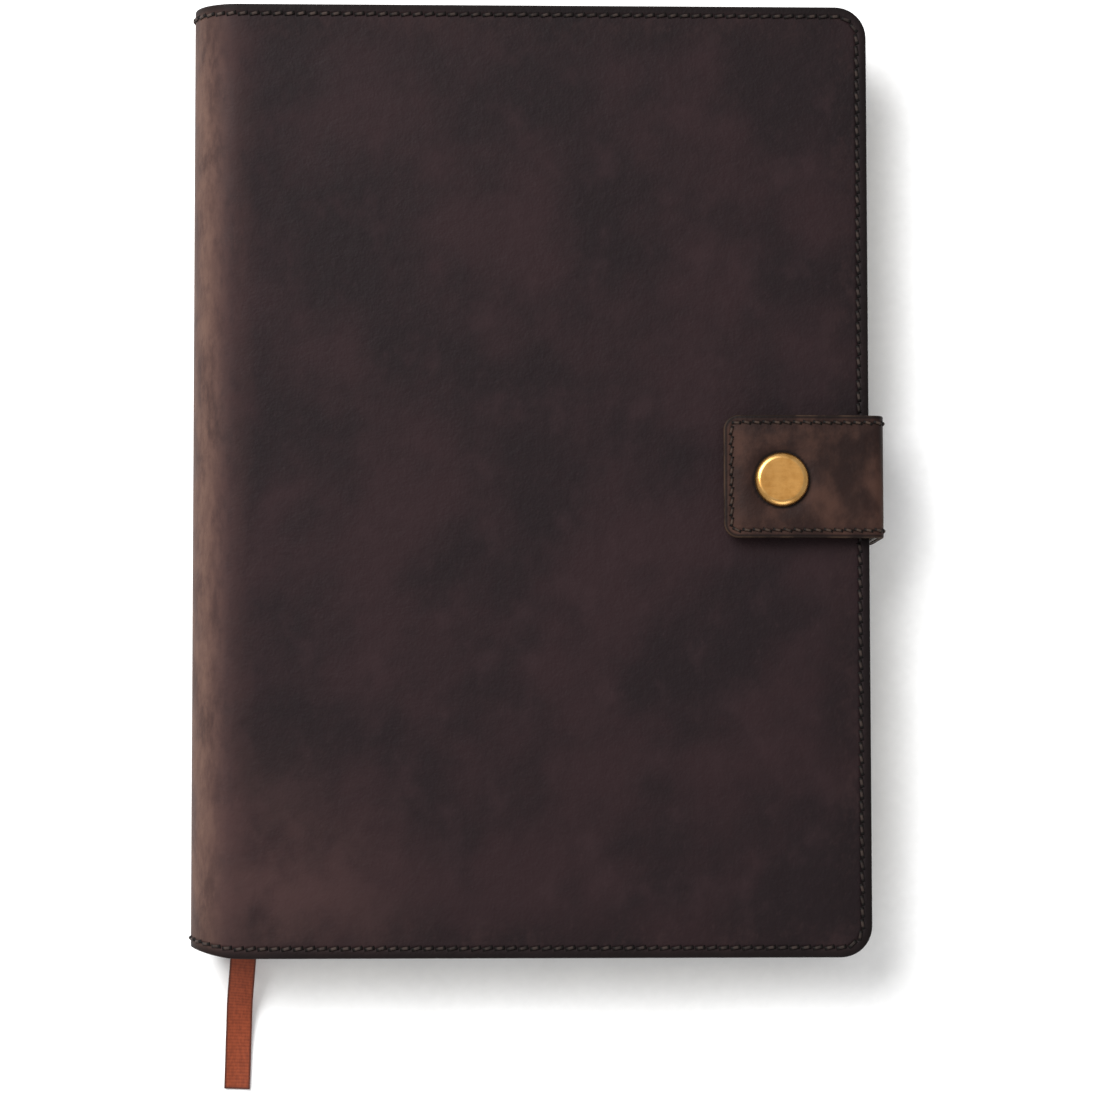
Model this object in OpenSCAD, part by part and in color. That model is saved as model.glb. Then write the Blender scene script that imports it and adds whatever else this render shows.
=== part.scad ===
// Leather notebook cover, A5, closed and lying on its back cover.
// Spine towards -X, fore-edge towards +X, head towards +Y, front cover up.
// The origin is the centre of the back cover's underside. Millimetres.

/* [Cover] */
// Width of the closed cover, from the spine's outer face to the fore-edge
cover_w = 162.5; // [150:0.5:180]
// Height of the cover, from head to tail
cover_h = 229; // [222:1:240]
// Thickness of the closed cover, without the strap
cover_t = 22; // [22:0.5:26]
// Radius of the two fore-edge corners
corner_r = 7.5; // [5:0.5:14]
// Thickness of the outer leather
leather_t = 1.6; // [1.2:0.1:1.8]
// Thickness of the lining
lining_t = 0.6; // [0.4:0.1:0.7]

/* [Strap and snap] */
// Width of the closure strap
strap_w = 29.4; // [24:0.2:40]
// Height of the strap's middle above the cover's middle
strap_y = 0; // [-40:1:40]
// Reach of the tab from its upper bend over the front cover
tab_reach = 36; // [30:0.5:50]
// Radius of the tab's two free corners
tab_corner_r = 3.5; // [2:0.5:8]
// Distance of the snap's middle from the fore-edge
snap_inset = 21.5; // [16:0.5:26]
// Distance of the snap's middle from the cover's middle, towards the head
snap_y = -0.8; // [-40:0.1:40]
// Diameter of the brass cap
cap_d = 13; // [12:0.5:15]

/* [Notebook] */
// Width of the notebook's pages
page_w = 147; // [140:1:148]
// Height of the notebook's pages
page_h = 210; // [200:1:212]
// Folded signatures above the ribbon, and again below it
half_signatures = 6; // [4:1:8]
// Width of the ribbon bookmark
ribbon_w = 6.2; // [5:0.1:8]

/* [Thread] */
// Distance from one stitch of the outer seam to the next
stitch_pitch = 2.8; // [2.5:0.1:5]
// Distance of the outer seam from the cover's edge
seam_inset = 2.4; // [2:0.1:3.5]
// Thickness of the thread
thread_t = 0.45; // [0.3:0.05:0.6]

/* [Hidden] */
$fn = 96;
small_fn = 32;
far = 400;
fit_gap = 0.1;
joint_gap = 0.1;

// The spine is half a tube, and its middle line is the centre of these radii.
spine_r = cover_t / 2;
spine_x = -cover_w / 2 + spine_r;
spine_z = cover_t / 2;
fore_x = cover_w / 2;
head_y = cover_h / 2;
skin_t = leather_t + lining_t;

// Each cover carries an eighth of the tube, and the spine the quarter between them,
// so the two folds lie on the outer surface, half way round each bend.
fold_angle = 45;
spine_span = 90;
joint_angle = joint_gap / 2 / spine_r * 180 / PI;

// Layers inside, from the bottom up.
book_card_t = 0.5;
book_bottom_z = skin_t + 0.2;
sleeve_t = 0.8;
sleeve_z = book_bottom_z + book_card_t + fit_gap;
block_z = sleeve_z + sleeve_t + 0.2;
panel_t = 0.6;
slot_t = 0.5;
panel_z = cover_t - skin_t - panel_t;
book_room = 0.4;
book_top_z = panel_z - 3 * slot_t - book_room - book_card_t;
block_t = book_top_z - fit_gap - block_z;
endpaper_t = 0.2;
book_fold_x = spine_x - 3.1;
book_low_bend_r = 3;
book_high_bend_r = 0.8;
card_x = book_fold_x - 0.8;
card_reach = book_fold_x + page_w + 0.7;

// Signatures lie in two stacks, and the ribbon lies between them.
ribbon_t = 0.35;
ribbon_room = 0.45;
ribbon_x = book_fold_x + 4.7;
leaf_room = 0.03;
stack_t = (block_t - 2 * endpaper_t - 2 * leaf_room - ribbon_room) / 2;
signature_pitch = stack_t / half_signatures;
signature_t = signature_pitch - leaf_room;
page_corner_r = 5;
mull_t = 0.15;

// The strap's outline in section: two bends joined by an upright.
strap_leather_t = 1.4;
strap_lining_t = 0.8;
strap_t = strap_leather_t + strap_lining_t;
snap_lift = 2.6;
bend_out_r = 2.5;
strap_joint_angle = joint_gap / 2 / bend_out_r * 180 / PI;
bend_x = fore_x + 0.7;
low_bend_z = 0.8 + bend_out_r;
tab_z = cover_t + snap_lift;
high_bend_z = tab_z + strap_t - bend_out_r;
tongue_t = lining_t;
tongue_l = 12;
tab_seam_inset = 1.8;
tab_pitch = 2.45;

// Snap fastener.
snap_x = fore_x - snap_inset;
cap_t = 1.4;
cap_roll_r = 0.6;
cap_face_drop = 0.3;
post_r = 1.55;
rivet_post_r = 1.2;
running_gap = 0.05;
socket_r = 5.5;
stud_flange_r = 5;
stud_flange_t = 0.4;
knob_r = 2.5;
neck_r = 2.2;
knob_top = 1.9;
socket_room_r = 2.8;
socket_web_t = 0.5;
spring_wire_r = 0.25;
spring_r = 2.7;
spring_z = cover_t + 1.2;
rivet_flange_r = 4.5;
rivet_flange_t = 0.4;

// Sleeve and pockets.
sleeve_w = 112;
rim_w = 6;
panel_w = 118;
slot_w = 96;
slot_h = 46;
slot_step = 20;
slot_x = fore_x - 66;
slot_tail_y = -head_y + 12;
slot_thread_t = 0.35;

// Seam groove in the outer leather, as deep as the thread is thick.
groove_w = 1;
groove_d = thread_t;
stitch_l = 2.1;
stitch_w = 0.7;

// Route of the ribbon's middle: glued at the head, between the leaves, then down to the table.
ribbon_mid_z = block_z + endpaper_t + leaf_room + stack_t + ribbon_room / 2;
ribbon_route = [
    [ribbon_x, 100, ribbon_mid_z],
    [ribbon_x, 80, ribbon_mid_z],
    [ribbon_x, 60, ribbon_mid_z],
    [ribbon_x, 40, ribbon_mid_z],
    [ribbon_x, 20, ribbon_mid_z],
    [ribbon_x, 0, ribbon_mid_z],
    [ribbon_x, -20, ribbon_mid_z],
    [ribbon_x, -40, ribbon_mid_z],
    [ribbon_x, -60, ribbon_mid_z],
    [ribbon_x, -80, ribbon_mid_z],
    [ribbon_x, -100, ribbon_mid_z],
    [ribbon_x, -106, ribbon_mid_z],
    [ribbon_x, -110, 9.9],
    [ribbon_x - 0.1, -114, 9.1],
    [ribbon_x - 0.35, -117, 7.8],
    [ribbon_x - 0.65, -120, 6.1],
    [ribbon_x - 0.95, -123, 4.4],
    [ribbon_x - 1.2, -126, 2.9],
    [ribbon_x - 1.35, -129, 1.8],
    [ribbon_x - 1.45, -132, 1.1],
    [ribbon_x - 1.6, -136, 0.6],
    [ribbon_x - 1.7, -140, 0.4],
    [ribbon_x - 1.8, -143.5, 0.3],
    [ribbon_x - 1.9, -146.5, 0.3]
];

leather = "#3b2f2d";
worn_leather = "#59463f";
lining = "#6f5a48";
thread = "#8a7a6c";
brass = "#c79a52";
paper = "#efe8d8";
card = "#2b2725";
cloth = "#8d4a35";

// ---- Helpers ----

// A cover's outline: square towards the spine, rounded at the fore-edge, and drawn in by inset.
module cover_outline(inset = 0) {
    r = corner_r - inset;
    h = cover_h - 2 * inset;
    translate([spine_x, -h / 2]) square([fore_x - inset - r - spine_x, h]);
    translate([spine_x, -h / 2 + r]) square([fore_x - inset - spine_x, h - 2 * r]);
    for (side = [-1, 1])
        translate([fore_x - inset - r, side * (h / 2 - r)]) circle(r);
}

// A sheet from the spine to the fore-edge.
module cover_sheet(bottom, thickness) {
    translate([0, 0, bottom]) linear_extrude(thickness) cover_outline();
}

// What the seam groove takes out of an outer face at height z: twice as tall as it is deep.
module groove_cut(z) {
    translate([0, 0, z - groove_d]) linear_extrude(2 * groove_d) difference() {
        cover_outline(seam_inset - groove_w / 2);
        cover_outline(seam_inset + groove_w / 2);
    }
}

// A part of a ring in the XZ plane, centred on (cx, cz). It starts at the angle from, counted
// from +X towards +Z, and turns on by span, or back if span is negative.
module ring_part(cx, cz, r_in, r_out, from, span, width) {
    translate([cx, 0, cz]) rotate([90, 0, 0]) rotate([0, 0, from])
        mirror([0, span < 0 ? 1 : 0, 0]) rotate_extrude(angle = abs(span))
            translate([r_in, -width / 2]) square([r_out - r_in, width]);
}

// Both seam grooves of a stretch of the spine's outer leather.
module spine_grooves(from, span) {
    for (side = [-1, 1])
        translate([0, side * (head_y - seam_inset), 0])
            ring_part(spine_x, spine_z, spine_r - groove_d, spine_r + 1, from, span, groove_w);
}

// A stretch of the spine's skin, outer leather or lining.
module spine_leather_part(from, span) {
    difference() {
        ring_part(spine_x, spine_z, spine_r - leather_t, spine_r, from, span, cover_h);
        spine_grooves(from - sign(span), span + 2 * sign(span));
    }
}

module spine_lining_part(from, span) {
    ring_part(spine_x, spine_z, spine_r - skin_t, spine_r - leather_t, from, span, cover_h);
}

// One stitch of an outer seam, lying along X.
module stitch(length = stitch_l, width = stitch_w, thickness = thread_t) {
    cube([length, width, thickness], center = true);
}

// Stitches round the head, fore-edge and tail of one cover, at height z.
module cover_seam(z) {
    inset_r = corner_r - seam_inset;
    run = fore_x - corner_r - spine_x;
    rise = cover_h - 2 * corner_r;
    quarter = inset_r * PI / 2;
    n_run = floor(run / stitch_pitch);
    n_rise = floor(rise / stitch_pitch);
    n_quarter = floor(quarter / stitch_pitch);
    for (side = [-1, 1]) {
        for (i = [0 : n_run - 1])
            translate([spine_x + (i + 0.5) * run / n_run, side * (head_y - seam_inset), z]) stitch();
        for (i = [0 : n_quarter - 1])
            translate([fore_x - corner_r, side * (head_y - corner_r), z])
                rotate([0, 0, side * (i + 0.5) * 90 / n_quarter])
                    translate([inset_r, 0, 0]) rotate([0, 0, 90]) stitch();
    }
    for (i = [0 : n_rise - 1])
        translate([fore_x - seam_inset, -rise / 2 + (i + 0.5) * rise / n_rise, z])
            rotate([0, 0, 90]) stitch();
}

// Stitches round a stretch of the spine, head and tail.
module spine_seam(from, span) {
    r = spine_r - thread_t / 2;
    n = max(1, floor(span * PI / 180 * spine_r / stitch_pitch));
    for (side = [-1, 1], i = [0 : n - 1])
        translate([spine_x, side * (head_y - seam_inset), spine_z])
            rotate([0, -(from + (i + 0.5) * span / n), 0])
                translate([r, 0, 0]) rotate([0, 90, 0]) stitch();
}

// ---- Back cover ----

module back_leather() {
    color(leather) {
        difference() {
            cover_sheet(0, leather_t);
            groove_cut(0);
        }
        spine_leather_part(270, joint_angle - fold_angle);
    }
}

module back_lining() {
    color(lining) {
        difference() {
            cover_sheet(leather_t, lining_t);
            translate([fore_x - tongue_l, strap_y - strap_w / 2 - fit_gap, leather_t - 1])
                cube([far, strap_w + 2 * fit_gap, far]);
        }
        spine_lining_part(270, joint_angle - fold_angle);
    }
}

module back_stitching() {
    color(thread) {
        cover_seam(thread_t / 2);
        spine_seam(270 - fold_angle + 2, fold_angle - 2);
    }
}

// The sleeve that takes the notebook's back cover: sewn on three sides, open towards the spine.
module notebook_sleeve() {
    color(leather) difference() {
        translate([0, 0, skin_t]) linear_extrude(sleeve_z + sleeve_t - skin_t)
            intersection() {
                cover_outline(0.4);
                translate([fore_x - sleeve_w, -far / 2]) square([far, far]);
            }
        translate([fore_x - sleeve_w - 1, -head_y + rim_w, skin_t - 1])
            cube([sleeve_w + 1 - rim_w, cover_h - 2 * rim_w, sleeve_z - skin_t + 1]);
    }
}

// The strap's skived end, sewn between the outer leather and the sleeve's rim.
module strap_tongue() {
    color(leather) {
        translate([fore_x - tongue_l + fit_gap, strap_y - strap_w / 2, leather_t])
            cube([tongue_l + bend_x - fore_x - fit_gap, strap_w, tongue_t]);
        translate([0, strap_y, 0])
            ring_part(bend_x, low_bend_z, bend_out_r - strap_t, bend_out_r,
                      270, 45 - strap_joint_angle, strap_w);
    }
}

// ---- Notebook ----

// The soft cover: one card round the back, the spine and the front.
module notebook_card_cover() {
    out_h = page_h + 1;
    up = book_top_z + book_card_t - book_bottom_z;
    color(card) {
        for (board = [[book_bottom_z, book_low_bend_r], [book_top_z, book_high_bend_r]])
            translate([card_x + board[1], 0, board[0]]) linear_extrude(book_card_t)
                page_outline(card_reach - card_x - board[1], out_h, page_corner_r);
        translate([card_x, -out_h / 2, book_bottom_z + book_low_bend_r])
            cube([book_card_t, out_h, up - book_low_bend_r - book_high_bend_r]);
        ring_part(card_x + book_low_bend_r, book_bottom_z + book_low_bend_r,
                  book_low_bend_r - book_card_t, book_low_bend_r, 180, 90, out_h);
        ring_part(card_x + book_high_bend_r, book_bottom_z + up - book_high_bend_r,
                  book_high_bend_r - book_card_t, book_high_bend_r, 90, 90, out_h);
    }
}

// A leaf from x = 0 to its rounded fore-edge corners.
module page_outline(w, h, r) {
    translate([0, -h / 2]) square([w - r, h]);
    translate([0, -h / 2 + r]) square([w, h - 2 * r]);
    for (side = [-1, 1]) translate([w - r, side * (h / 2 - r)]) circle(r);
}

// Folded sheets with a round back, one above the other.
module signatures(bottom) {
    r = signature_t / 2;
    for (i = [0 : half_signatures - 1])
        translate([book_fold_x + r, 0, bottom + i * signature_pitch + leaf_room / 2]) {
            linear_extrude(signature_t) page_outline(page_w - r, page_h, page_corner_r);
            translate([0, page_h / 2, r]) rotate([90, 0, 0]) cylinder(r = r, h = page_h);
        }
}

module back_signatures() {
    color(paper) signatures(block_z + endpaper_t + leaf_room);
}

module front_signatures() {
    color(paper) signatures(block_z + block_t - endpaper_t - leaf_room - stack_t);
}

module endpaper(z) {
    color(paper) translate([book_fold_x + 1, 0, z])
        linear_extrude(endpaper_t) page_outline(page_w - 1, page_h, page_corner_r);
}

// Open-weave cloth glued down the folds.
module spine_mull() {
    inset = 6;
    margin = 1.5;
    color("white") translate([book_fold_x - mull_t, -page_h / 2 + inset, block_z + margin])
        cube([mull_t, page_h - 2 * inset, block_t - 2 * margin]);
}

// Cross-section of the ribbon at one point of its route, square to the way it runs.
function unit(v) = v / norm(v);
function ribbon_way(i) = unit(
    ribbon_route[min(i + 1, len(ribbon_route) - 1)] - ribbon_route[max(i - 1, 0)]);
function ribbon_side(i) = unit(cross(ribbon_way(i), [0, 0, 1]));
function ribbon_up(i) = cross(ribbon_side(i), ribbon_way(i));
function ribbon_ring(i) = [
    for (c = [[-1, -1], [1, -1], [1, 1], [-1, 1]])
        ribbon_route[i] + c[0] * ribbon_w / 2 * ribbon_side(i) + c[1] * ribbon_t / 2 * ribbon_up(i)
];

module ribbon_bookmark() {
    n = len(ribbon_route);
    points = [for (i = [0 : n - 1]) each ribbon_ring(i)];
    sides = [
        for (i = [0 : n - 2], j = [0 : 3])
            [4 * i + j, 4 * i + (j + 1) % 4, 4 * (i + 1) + (j + 1) % 4, 4 * (i + 1) + j]
    ];
    last = 4 * (n - 1);
    ends = [[3, 2, 1, 0], [last, last + 1, last + 2, last + 3]];
    color(cloth) polyhedron(points, concat(sides, ends), convexity = 4);
}

// ---- Spine ----

module spine_leather() {
    color(worn_leather)
        spine_leather_part(180 - spine_span / 2 + joint_angle, spine_span - 2 * joint_angle);
}

module spine_lining() {
    color(lining)
        spine_lining_part(180 - spine_span / 2 + joint_angle, spine_span - 2 * joint_angle);
}

module spine_stitching() {
    color(thread) spine_seam(180 - spine_span / 2 + 2, spine_span - 4);
}

// ---- Front cover ----

module front_leather() {
    color(leather) difference() {
        union() {
            cover_sheet(cover_t - leather_t, leather_t);
            spine_leather_part(90, fold_angle - joint_angle);
        }
        groove_cut(cover_t);
        translate([snap_x, snap_y, cover_t - leather_t - 1])
            cylinder(r = rivet_post_r + running_gap, h = leather_t + 2);
    }
}

module front_lining() {
    color(lining) difference() {
        union() {
            cover_sheet(cover_t - skin_t, lining_t);
            spine_lining_part(90, fold_angle - joint_angle);
        }
        translate([snap_x, snap_y, cover_t - skin_t - 1])
            cylinder(r = rivet_flange_r + fit_gap, h = lining_t + 2);
    }
}

module front_stitching() {
    color(thread) {
        cover_seam(cover_t - thread_t / 2);
        spine_seam(90, fold_angle - 2);
    }
}

// A full-height panel, sewn at head, tail and fore-edge, open towards the spine.
module slip_pocket() {
    color(leather) translate([0, 0, panel_z]) linear_extrude(panel_t) intersection() {
        cover_outline(0.4);
        translate([fore_x - panel_w, -far / 2]) square([far, far]);
    }
}

// One of three overlapping strips that hold cards. Strip 0 is nearest the tail and lies lowest.
module card_slot(i) {
    color(leather)
        translate([slot_x - slot_w / 2, slot_tail_y + i * slot_step, panel_z - (3 - i) * slot_t])
            cube([slot_w, slot_h, slot_t - 0.04]);
}

// Thread down both sides of the card slots, on the part of each strip that the next leaves bare.
module pocket_stitching() {
    color(thread) for (i = [0 : 2], side = [-1, 1]) {
        bare = (i == 0 ? slot_h : slot_step) - 2;
        top_y = slot_tail_y + i * slot_step + slot_h - 1.5;
        for (k = [0 : floor(bare / stitch_pitch) - 1])
            translate([slot_x + side * (slot_w / 2 - 2), top_y - (k + 0.5) * stitch_pitch,
                       panel_z - (3 - i) * slot_t - slot_thread_t / 2])
                rotate([0, 0, 90]) stitch(stitch_l, stitch_w, slot_thread_t);
    }
}

// ---- Snap fastener ----

module snap_stud() {
    color(brass) translate([snap_x, snap_y, cover_t]) difference() {
        union() {
            cylinder(r = stud_flange_r, h = stud_flange_t);
            cylinder(r = neck_r, h = knob_top);
            translate([0, 0, knob_top - 0.4]) cylinder(r = knob_r, h = 0.4);
        }
        translate([0, 0, -1]) cylinder(r = rivet_post_r + running_gap, h = knob_top + 0.6);
    }
}

// The rivet that clamps the stud through the front leather.
module stud_rivet() {
    color(brass) translate([snap_x, snap_y, cover_t - leather_t - rivet_flange_t]) {
        cylinder(r = rivet_flange_r, h = rivet_flange_t);
        cylinder(r = rivet_post_r, h = rivet_flange_t + leather_t + 1);
    }
}

module snap_socket() {
    h = snap_lift - 0.5;
    color(brass) translate([snap_x, snap_y, tab_z - h]) difference() {
        cylinder(r = socket_r, h = h);
        translate([0, 0, -1]) cylinder(r = socket_room_r, h = h - socket_web_t + 1);
        translate([0, 0, -1]) cylinder(r = post_r, h = h + 2);
        translate([0, 0, spring_z - tab_z + h - spring_wire_r - 0.05])
            cylinder(r = spring_r + spring_wire_r + 0.1, h = 2 * spring_wire_r + 0.1);
    }
}

// The split wire ring that grips the stud's neck.
module socket_spring() {
    color("silver") translate([snap_x, snap_y, spring_z]) rotate([0, 0, 20])
        rotate_extrude(angle = 320) translate([spring_r, 0]) circle(spring_wire_r, $fn = small_fn);
}

// Cap with a flat face inside a rolled rim, and the post that clamps the socket.
module snap_cap() {
    r = cap_d / 2 - cap_roll_r;
    color(brass) translate([snap_x, snap_y, tab_z + strap_t]) {
        rotate_extrude() {
            square([r, cap_t - cap_face_drop]);
            square([cap_d / 2 - 0.1, cap_t - cap_roll_r]);
            translate([r, cap_t - cap_roll_r]) circle(cap_roll_r, $fn = small_fn);
        }
        translate([0, 0, -strap_t - socket_web_t])
            cylinder(r = post_r - running_gap, h = strap_t + socket_web_t);
    }
}

// ---- Strap ----

// A layer of the strap's upright, between its two folds.
module strap_side_layer(r_in, r_out) {
    span = 45 - strap_joint_angle;
    translate([0, strap_y, 0]) {
        ring_part(bend_x, low_bend_z, r_in, r_out, 0, -span, strap_w);
        ring_part(bend_x, high_bend_z, r_in, r_out, 0, span, strap_w);
        translate([bend_x + r_in, -strap_w / 2, low_bend_z])
            cube([r_out - r_in, strap_w, high_bend_z - low_bend_z]);
    }
}

module strap_side_leather() {
    color(leather) strap_side_layer(bend_out_r - strap_leather_t, bend_out_r);
}

module strap_side_lining() {
    color(lining) strap_side_layer(bend_out_r - strap_t, bend_out_r - strap_leather_t);
}

// The outline of the tab's flat part, rounded at its free end.
module tab_outline() {
    r = tab_corner_r;
    translate([bend_x - tab_reach, strap_y - strap_w / 2]) {
        translate([r, 0]) square([tab_reach - r, strap_w]);
        translate([0, r]) square([tab_reach, strap_w - 2 * r]);
        for (y = [r, strap_w - r]) translate([r, y]) circle(r);
    }
}

// A layer of the tab: flat over the cover, and half of the upper bend.
module tab_layer(bottom, thickness, r_in) {
    difference() {
        union() {
            translate([0, 0, bottom]) linear_extrude(thickness) tab_outline();
            translate([0, strap_y, 0])
                ring_part(bend_x, high_bend_z, r_in, r_in + thickness,
                          90, strap_joint_angle - 45, strap_w);
        }
        translate([snap_x, snap_y, bottom - 1]) cylinder(r = post_r, h = thickness + 2);
    }
}

module tab_leather() {
    color(worn_leather)
        tab_layer(tab_z + strap_lining_t, strap_leather_t, bend_out_r - strap_leather_t);
}

module tab_lining() {
    color(lining) tab_layer(tab_z, strap_lining_t, bend_out_r - strap_t);
}

// Stitches round the tab's free end and along its two sides.
module tab_stitching() {
    z = tab_z + strap_t + thread_t / 2;
    side_y = strap_w / 2 - tab_seam_inset;
    end_x = bend_x - tab_reach + tab_seam_inset;
    n_side = floor((bend_x - end_x - 3) / tab_pitch);
    n_end = floor((2 * side_y - 2) / tab_pitch);
    color(thread) {
        for (side = [-1, 1], i = [0 : n_side - 1])
            translate([end_x + 3 + (i + 0.5) * tab_pitch, strap_y + side * side_y, z]) stitch(1.8);
        for (i = [0 : n_end - 1])
            translate([end_x, strap_y - side_y + 1 + (i + 0.5) * (2 * side_y - 2) / n_end, z])
                rotate([0, 0, 90]) stitch(1.8);
    }
}

module strap_side_stitching() {
    side_y = strap_w / 2 - tab_seam_inset;
    rise = high_bend_z - low_bend_z;
    n = floor(rise / tab_pitch);
    color(thread) for (side = [-1, 1], i = [0 : n - 1])
        translate([bend_x + bend_out_r + thread_t / 2, strap_y + side * side_y,
                   low_bend_z + (i + 0.5) * rise / n])
            rotate([0, 90, 0]) stitch(1.8);
}

// ---- Nodes ----

back_leather();
back_lining();
back_stitching();
notebook_sleeve();
strap_tongue();
notebook_card_cover();
spine_mull();
endpaper(block_z + block_t - endpaper_t);  // front_endpaper
endpaper(block_z);  // back_endpaper
front_signatures();
back_signatures();
ribbon_bookmark();
spine_leather();
spine_lining();
spine_stitching();
front_leather();
front_lining();
front_stitching();
slip_pocket();
card_slot(0);  // card_slot_lower
card_slot(1);  // card_slot_middle
card_slot(2);  // card_slot_upper
pocket_stitching();
snap_stud();
stud_rivet();
strap_side_leather();
strap_side_lining();
strap_side_stitching();
tab_leather();
tab_lining();
tab_stitching();
snap_cap();
snap_socket();
socket_spring();
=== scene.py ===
# %% [markdown]
# # A leather notebook cover
#
# The real object is a soft cover of dark brown pull-up leather round an A5 notebook. It is
# closed with a strap and a brass snap, and a ribbon bookmark hangs out at the tail. Leather is
# cut flat, lined, sewn near its edge and bent round the spine. So here each leather piece is
# laid out flat first, as a hide on the bench, and then bent into place by a formula.

import math
import random

import bmesh
import bpy
import numpy as np
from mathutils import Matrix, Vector


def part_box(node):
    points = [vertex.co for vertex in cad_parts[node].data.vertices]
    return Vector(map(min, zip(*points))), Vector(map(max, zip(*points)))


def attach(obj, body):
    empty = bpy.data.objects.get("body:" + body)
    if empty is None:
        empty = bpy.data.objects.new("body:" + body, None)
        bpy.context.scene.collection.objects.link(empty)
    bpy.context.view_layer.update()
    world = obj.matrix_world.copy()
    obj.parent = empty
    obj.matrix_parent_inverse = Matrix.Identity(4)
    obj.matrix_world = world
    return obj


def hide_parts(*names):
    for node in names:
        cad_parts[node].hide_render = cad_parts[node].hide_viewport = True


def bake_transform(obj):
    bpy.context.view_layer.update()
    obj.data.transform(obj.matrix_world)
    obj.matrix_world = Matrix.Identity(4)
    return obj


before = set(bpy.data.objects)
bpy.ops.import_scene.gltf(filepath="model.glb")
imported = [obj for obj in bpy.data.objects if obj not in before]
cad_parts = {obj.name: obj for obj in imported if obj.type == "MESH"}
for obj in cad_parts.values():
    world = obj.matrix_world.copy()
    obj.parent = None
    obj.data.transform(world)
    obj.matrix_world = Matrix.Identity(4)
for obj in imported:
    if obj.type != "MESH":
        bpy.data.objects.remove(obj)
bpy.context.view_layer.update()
MM = 0.001

# %% [markdown]
# ## Sizes
#
# A length that the box of a CAD piece shows is read from it, so the visual pieces sit where
# theirs do. Thicknesses and radii are inside the pieces, so they are written down again here.

# %% Sizes of the cover
_, front_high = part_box("front_leather")
spine_low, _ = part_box("spine_leather")
fore_x = front_high.x
head_y = front_high.y
cover_t = front_high.z
spine_r = cover_t / 2
spine_x = spine_low.x + spine_r
spine_z = cover_t / 2
leather_t = 1.6 * MM
lining_t = 0.6 * MM
skin_t = leather_t + lining_t
corner_r = 7.5 * MM
seam_inset = 2.4 * MM
print("cover", round(fore_x - spine_low.x, 4), "by", round(2 * head_y, 4), "by",
      round(cover_t, 4))

# %% [markdown]
# ## Sizes of the strap and the snap
#
# The strap is two plies of leather, and the snap's cap sits on its tab. Width, reach and height
# come from the CAD pieces. The bend radius is measured on the strap's outer face.

# %% Sizes of the strap and the snap
tab_low, tab_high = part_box("tab_leather")
_, side_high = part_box("strap_side_leather")
cap_low, cap_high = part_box("snap_cap")
strap_w = tab_high.y - tab_low.y
strap_y = (tab_high.y + tab_low.y) / 2
bend_r = 2.5 * MM
bend_x = side_high.x - bend_r
strap_leather_t = 1.4 * MM
strap_lining_t = 0.8 * MM
strap_t = strap_leather_t + strap_lining_t
tab_top_z = tab_high.z
cap_r = (cap_high.x - cap_low.x) / 2
cap_x = (cap_high.x + cap_low.x) / 2
cap_y = (cap_high.y + cap_low.y) / 2
print("strap", round(strap_w, 4), "wide, cap", round(2 * cap_r, 4), "across")

# %% [markdown]
# ## Camera
#
# A product shot from almost straight above, through a long lens about 0.9 m away. The camera
# stands a little towards the tail and the spine, so the sides turn in very slightly.

# %% Camera
lens = bpy.data.cameras.new("camera")
sensor_mm, focal_mm = 36, 122.7
lens.sensor_width = sensor_mm
lens.lens = focal_mm
camera = bpy.data.objects.new("camera", lens)
bpy.context.scene.collection.objects.link(camera)
camera.location = (-27.8 * MM, -80.4 * MM, 915.4 * MM)
camera.rotation_mode = "ZYX"
camera.rotation_euler = (math.radians(4.034), math.radians(-2.068), math.radians(0.059))
bpy.context.scene.camera = camera
print("camera is", round(camera.location.z - cover_t, 3), "m above the front cover")

# %% [markdown]
# ## Ribbon bookmark
#
# A 6 mm woven ribbon is glued in at the head, lies between the pages and hangs out at the tail,
# where it falls to the table. It is a strip swept along a few given points, with the small cross
# ribs of a grosgrain weave and two firmer woven edges.


# %% The ribbon's route
def through(points, step):
    """A smooth line through the points (Catmull-Rom), with about one sample every step metres."""
    p = [2 * points[0] - points[1], *points, 2 * points[-1] - points[-2]]
    line = []
    for a, b, c, d in zip(p, p[1:], p[2:], p[3:]):
        n = max(1, round((c - b).length / step))
        for i in range(n):
            t = i / n
            line.append(
                0.5 * (2 * b + (c - a) * t + (2 * a - 5 * b + 4 * c - d) * t**2
                       + (3 * b - a - 3 * c + d) * t**3)
            )
    return line + [points[-1]]


_, ribbon_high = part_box("ribbon_bookmark")
ribbon_w = 6.2 * MM
ribbon_t = 0.35 * MM
ribbon_x = ribbon_high.x - ribbon_w / 2
pages_mid_z = ribbon_high.z - ribbon_t / 2
ribbon_route = [
    Vector((ribbon_x + x * MM, y * MM, pages_mid_z if z is None else z * MM))
    for x, y, z in [
        (0, 100, None), (0, 80, None), (0, 60, None), (0, 40, None), (0, 20, None), (0, 0, None),
        (0, -20, None), (0, -40, None), (0, -60, None), (0, -80, None), (0, -100, None),
        (0, -106, None), (0, -110, 9.9), (-0.1, -114, 9.1), (-0.35, -117, 7.8),
        (-0.65, -120, 6.1), (-0.95, -123, 4.4), (-1.2, -126, 2.9), (-1.35, -129, 1.8),
        (-1.45, -132, 1.1), (-1.6, -136, 0.6), (-1.7, -140, 0.4), (-1.8, -143.5, 0.3),
        (-1.9, -146.5, 0.3),
    ]
]
ribbon_line = through(ribbon_route, 0.2 * MM)
ribbon_length = sum((b - a).length for a, b in zip(ribbon_line, ribbon_line[1:]))
print("ribbon", len(ribbon_line), "samples,", round(ribbon_length, 4), "m long")

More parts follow.
